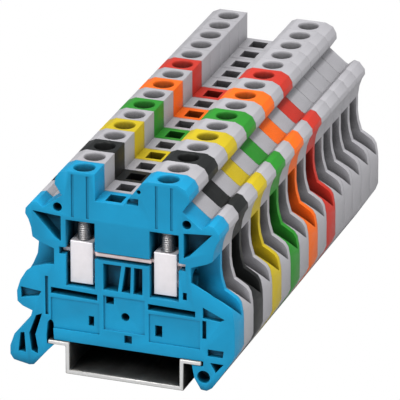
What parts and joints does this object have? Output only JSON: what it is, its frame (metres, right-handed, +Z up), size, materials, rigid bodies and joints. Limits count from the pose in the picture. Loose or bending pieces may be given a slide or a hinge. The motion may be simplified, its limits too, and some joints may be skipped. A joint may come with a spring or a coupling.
{
  "type": "din rail terminal block strip",
  "caption": "Feed-through screw-clamp terminal blocks in mixed colours, snapped side by side onto a slotted top-hat rail, with slotted clamping screws, sleeves and current bars.",
  "frame": {"origin": "Halfway along the rail, on its centre line, on the plane that the rail is screwed down to.", "axes": "+Z up out of the rail towards the screw heads, +Y along the rail from the first block (open side facing -Y) to the last, +X along a block to its fixed-foot side."},
  "size_m": [0.0512, 0.1008, 0.0474],
  "materials": {
    "rail": "zinc plated and passivated sheet steel, satin",
    "moulding_blue": "fine-textured moulded polyamide",
    "moulding_gray": "fine-textured moulded polyamide",
    "moulding_black": "fine-textured moulded polyamide",
    "moulding_yellow": "fine-textured moulded polyamide",
    "moulding_green": "fine-textured moulded polyamide",
    "moulding_orange": "fine-textured moulded polyamide",
    "moulding_red": "fine-textured moulded polyamide",
    "screw_steel": "zinc plated, satin",
    "sleeve_steel": "bright zinc plated, satin",
    "bar_copper": "tin plated copper, satin"
  },
  "bodies": {
    "root": {"rail": "rail", "housing_01_blue": "moulding_blue", "housing_02_gray": "moulding_gray", "housing_03_black": "moulding_black", "housing_04_gray": "moulding_gray", "housing_05_yellow": "moulding_yellow", "housing_06_gray": "moulding_gray", "housing_07_green": "moulding_green", "housing_08_gray": "moulding_gray", "housing_09_orange": "moulding_orange", "housing_10_gray": "moulding_gray", "housing_11_red": "moulding_red", "housing_12_gray": "moulding_gray", "housing_13_gray": "moulding_gray", "housing_14_gray": "moulding_gray", "housing_15_gray": "moulding_gray", "housing_16_gray": "moulding_gray", "bar_01": "bar_copper", "bars_rear": "bar_copper", "sleeves_rear": "sleeve_steel"},
    "screw_01_left": {"screw_01_left": "screw_steel"},
    "sleeve_01_left": {"sleeve_01_left": "sleeve_steel"},
    "screw_01_right": {"screw_01_right": "screw_steel"},
    "sleeve_01_right": {"sleeve_01_right": "sleeve_steel"},
    "screw_02_left": {"screw_02_left": "screw_steel"},
    "sleeve_02_left": {"sleeve_02_left": "sleeve_steel"},
    "screw_02_right": {"screw_02_right": "screw_steel"},
    "sleeve_02_right": {"sleeve_02_right": "sleeve_steel"},
    "screw_03_left": {"screw_03_left": "screw_steel"},
    "sleeve_03_left": {"sleeve_03_left": "sleeve_steel"},
    "screw_03_right": {"screw_03_right": "screw_steel"},
    "sleeve_03_right": {"sleeve_03_right": "sleeve_steel"},
    "screw_04_left": {"screw_04_left": "screw_steel"},
    "sleeve_04_left": {"sleeve_04_left": "sleeve_steel"},
    "screw_04_right": {"screw_04_right": "screw_steel"},
    "sleeve_04_right": {"sleeve_04_right": "sleeve_steel"},
    "screw_05_left": {"screw_05_left": "screw_steel"},
    "screw_05_right": {"screw_05_right": "screw_steel"},
    "screw_06_left": {"screw_06_left": "screw_steel"},
    "screw_06_right": {"screw_06_right": "screw_steel"},
    "screw_07_left": {"screw_07_left": "screw_steel"},
    "screw_07_right": {"screw_07_right": "screw_steel"},
    "screw_08_left": {"screw_08_left": "screw_steel"},
    "screw_08_right": {"screw_08_right": "screw_steel"},
    "screw_09_left": {"screw_09_left": "screw_steel"},
    "screw_09_right": {"screw_09_right": "screw_steel"},
    "screw_10_left": {"screw_10_left": "screw_steel"},
    "screw_10_right": {"screw_10_right": "screw_steel"},
    "screw_11_left": {"screw_11_left": "screw_steel"},
    "screw_11_right": {"screw_11_right": "screw_steel"},
    "screw_12_left": {"screw_12_left": "screw_steel"},
    "screw_12_right": {"screw_12_right": "screw_steel"},
    "screw_13_left": {"screw_13_left": "screw_steel"},
    "screw_13_right": {"screw_13_right": "screw_steel"},
    "screw_14_left": {"screw_14_left": "screw_steel"},
    "screw_14_right": {"screw_14_right": "screw_steel"},
    "screw_15_left": {"screw_15_left": "screw_steel"},
    "screw_15_right": {"screw_15_right": "screw_steel"},
    "screw_16_left": {"screw_16_left": "screw_steel"},
    "screw_16_right": {"screw_16_right": "screw_steel"}
  },
  "joints": [
    {"name": "screw_01_left_turn", "type": "hinge", "parent": "root", "child": "screw_01_left", "pos_m": [-0.01, -0.04658, 0.0406], "axis": [0, 0, -1], "range_deg": [0, 2160]},
    {"name": "sleeve_01_left_lift", "type": "slide", "parent": "root", "child": "sleeve_01_left", "axis": [0, 0, 1], "range_m": [0, 0.003]},
    {"name": "screw_01_right_turn", "type": "hinge", "parent": "root", "child": "screw_01_right", "pos_m": [0.009, -0.04658, 0.0406], "axis": [0, 0, -1], "range_deg": [0, 2160]},
    {"name": "sleeve_01_right_lift", "type": "slide", "parent": "root", "child": "sleeve_01_right", "axis": [0, 0, 1], "range_m": [0, 0.003]},
    {"name": "screw_02_left_turn", "type": "hinge", "parent": "root", "child": "screw_02_left", "pos_m": [-0.01, -0.04038, 0.0406], "axis": [0, 0, -1], "range_deg": [0, 2160]},
    {"name": "sleeve_02_left_lift", "type": "slide", "parent": "root", "child": "sleeve_02_left", "axis": [0, 0, 1], "range_m": [0, 0.003]},
    {"name": "screw_02_right_turn", "type": "hinge", "parent": "root", "child": "screw_02_right", "pos_m": [0.009, -0.04038, 0.0406], "axis": [0, 0, -1], "range_deg": [0, 2160]},
    {"name": "sleeve_02_right_lift", "type": "slide", "parent": "root", "child": "sleeve_02_right", "axis": [0, 0, 1], "range_m": [0, 0.003]},
    {"name": "screw_03_left_turn", "type": "hinge", "parent": "root", "child": "screw_03_left", "pos_m": [-0.01, -0.03418, 0.0406], "axis": [0, 0, -1], "range_deg": [0, 2160]},
    {"name": "sleeve_03_left_lift", "type": "slide", "parent": "root", "child": "sleeve_03_left", "axis": [0, 0, 1], "range_m": [0, 0.003]},
    {"name": "screw_03_right_turn", "type": "hinge", "parent": "root", "child": "screw_03_right", "pos_m": [0.009, -0.03418, 0.0406], "axis": [0, 0, -1], "range_deg": [0, 2160]},
    {"name": "sleeve_03_right_lift", "type": "slide", "parent": "root", "child": "sleeve_03_right", "axis": [0, 0, 1], "range_m": [0, 0.003]},
    {"name": "screw_04_left_turn", "type": "hinge", "parent": "root", "child": "screw_04_left", "pos_m": [-0.01, -0.02798, 0.0406], "axis": [0, 0, -1], "range_deg": [0, 2160]},
    {"name": "sleeve_04_left_lift", "type": "slide", "parent": "root", "child": "sleeve_04_left", "axis": [0, 0, 1], "range_m": [0, 0.003]},
    {"name": "screw_04_right_turn", "type": "hinge", "parent": "root", "child": "screw_04_right", "pos_m": [0.009, -0.02798, 0.0406], "axis": [0, 0, -1], "range_deg": [0, 2160]},
    {"name": "sleeve_04_right_lift", "type": "slide", "parent": "root", "child": "sleeve_04_right", "axis": [0, 0, 1], "range_m": [0, 0.003]},
    {"name": "screw_05_left_turn", "type": "hinge", "parent": "root", "child": "screw_05_left", "pos_m": [-0.01, -0.02178, 0.0406], "axis": [0, 0, -1], "range_deg": [0, 2160]},
    {"name": "screw_05_right_turn", "type": "hinge", "parent": "root", "child": "screw_05_right", "pos_m": [0.009, -0.02178, 0.0406], "axis": [0, 0, -1], "range_deg": [0, 2160]},
    {"name": "screw_06_left_turn", "type": "hinge", "parent": "root", "child": "screw_06_left", "pos_m": [-0.01, -0.01558, 0.0406], "axis": [0, 0, -1], "range_deg": [0, 2160]},
    {"name": "screw_06_right_turn", "type": "hinge", "parent": "root", "child": "screw_06_right", "pos_m": [0.009, -0.01558, 0.0406], "axis": [0, 0, -1], "range_deg": [0, 2160]},
    {"name": "screw_07_left_turn", "type": "hinge", "parent": "root", "child": "screw_07_left", "pos_m": [-0.01, -0.00938, 0.0406], "axis": [0, 0, -1], "range_deg": [0, 2160]},
    {"name": "screw_07_right_turn", "type": "hinge", "parent": "root", "child": "screw_07_right", "pos_m": [0.009, -0.00938, 0.0406], "axis": [0, 0, -1], "range_deg": [0, 2160]},
    {"name": "screw_08_left_turn", "type": "hinge", "parent": "root", "child": "screw_08_left", "pos_m": [-0.01, -0.00318, 0.0406], "axis": [0, 0, -1], "range_deg": [0, 2160]},
    {"name": "screw_08_right_turn", "type": "hinge", "parent": "root", "child": "screw_08_right", "pos_m": [0.009, -0.00318, 0.0406], "axis": [0, 0, -1], "range_deg": [0, 2160]},
    {"name": "screw_09_left_turn", "type": "hinge", "parent": "root", "child": "screw_09_left", "pos_m": [-0.01, 0.00302, 0.0406], "axis": [0, 0, -1], "range_deg": [0, 2160]},
    {"name": "screw_09_right_turn", "type": "hinge", "parent": "root", "child": "screw_09_right", "pos_m": [0.009, 0.00302, 0.0406], "axis": [0, 0, -1], "range_deg": [0, 2160]},
    {"name": "screw_10_left_turn", "type": "hinge", "parent": "root", "child": "screw_10_left", "pos_m": [-0.01, 0.00922, 0.0406], "axis": [0, 0, -1], "range_deg": [0, 2160]},
    {"name": "screw_10_right_turn", "type": "hinge", "parent": "root", "child": "screw_10_right", "pos_m": [0.009, 0.00922, 0.0406], "axis": [0, 0, -1], "range_deg": [0, 2160]},
    {"name": "screw_11_left_turn", "type": "hinge", "parent": "root", "child": "screw_11_left", "pos_m": [-0.01, 0.01542, 0.0406], "axis": [0, 0, -1], "range_deg": [0, 2160]},
    {"name": "screw_11_right_turn", "type": "hinge", "parent": "root", "child": "screw_11_right", "pos_m": [0.009, 0.01542, 0.0406], "axis": [0, 0, -1], "range_deg": [0, 2160]},
    {"name": "screw_12_left_turn", "type": "hinge", "parent": "root", "child": "screw_12_left", "pos_m": [-0.01, 0.02162, 0.0406], "axis": [0, 0, -1], "range_deg": [0, 2160]},
    {"name": "screw_12_right_turn", "type": "hinge", "parent": "root", "child": "screw_12_right", "pos_m": [0.009, 0.02162, 0.0406], "axis": [0, 0, -1], "range_deg": [0, 2160]},
    {"name": "screw_13_left_turn", "type": "hinge", "parent": "root", "child": "screw_13_left", "pos_m": [-0.01, 0.02782, 0.0406], "axis": [0, 0, -1], "range_deg": [0, 2160]},
    {"name": "screw_13_right_turn", "type": "hinge", "parent": "root", "child": "screw_13_right", "pos_m": [0.009, 0.02782, 0.0406], "axis": [0, 0, -1], "range_deg": [0, 2160]},
    {"name": "screw_14_left_turn", "type": "hinge", "parent": "root", "child": "screw_14_left", "pos_m": [-0.01, 0.03402, 0.0406], "axis": [0, 0, -1], "range_deg": [0, 2160]},
    {"name": "screw_14_right_turn", "type": "hinge", "parent": "root", "child": "screw_14_right", "pos_m": [0.009, 0.03402, 0.0406], "axis": [0, 0, -1], "range_deg": [0, 2160]},
    {"name": "screw_15_left_turn", "type": "hinge", "parent": "root", "child": "screw_15_left", "pos_m": [-0.01, 0.04022, 0.0406], "axis": [0, 0, -1], "range_deg": [0, 2160]},
    {"name": "screw_15_right_turn", "type": "hinge", "parent": "root", "child": "screw_15_right", "pos_m": [0.009, 0.04022, 0.0406], "axis": [0, 0, -1], "range_deg": [0, 2160]},
    {"name": "screw_16_left_turn", "type": "hinge", "parent": "root", "child": "screw_16_left", "pos_m": [-0.01, 0.04642, 0.0406], "axis": [0, 0, -1], "range_deg": [0, 2160]},
    {"name": "screw_16_right_turn", "type": "hinge", "parent": "root", "child": "screw_16_right", "pos_m": [0.009, 0.04642, 0.0406], "axis": [0, 0, -1], "range_deg": [0, 2160]}
  ],
  "couplings": [
    {"joint": "screw_01_left_turn", "follows": "sleeve_01_left_lift", "rad_per_m": 12566},
    {"joint": "screw_01_right_turn", "follows": "sleeve_01_right_lift", "rad_per_m": 12566},
    {"joint": "screw_02_left_turn", "follows": "sleeve_02_left_lift", "rad_per_m": 12566},
    {"joint": "screw_02_right_turn", "follows": "sleeve_02_right_lift", "rad_per_m": 12566},
    {"joint": "screw_03_left_turn", "follows": "sleeve_03_left_lift", "rad_per_m": 12566},
    {"joint": "screw_03_right_turn", "follows": "sleeve_03_right_lift", "rad_per_m": 12566},
    {"joint": "screw_04_left_turn", "follows": "sleeve_04_left_lift", "rad_per_m": 12566},
    {"joint": "screw_04_right_turn", "follows": "sleeve_04_right_lift", "rad_per_m": 12566}
  ]
}
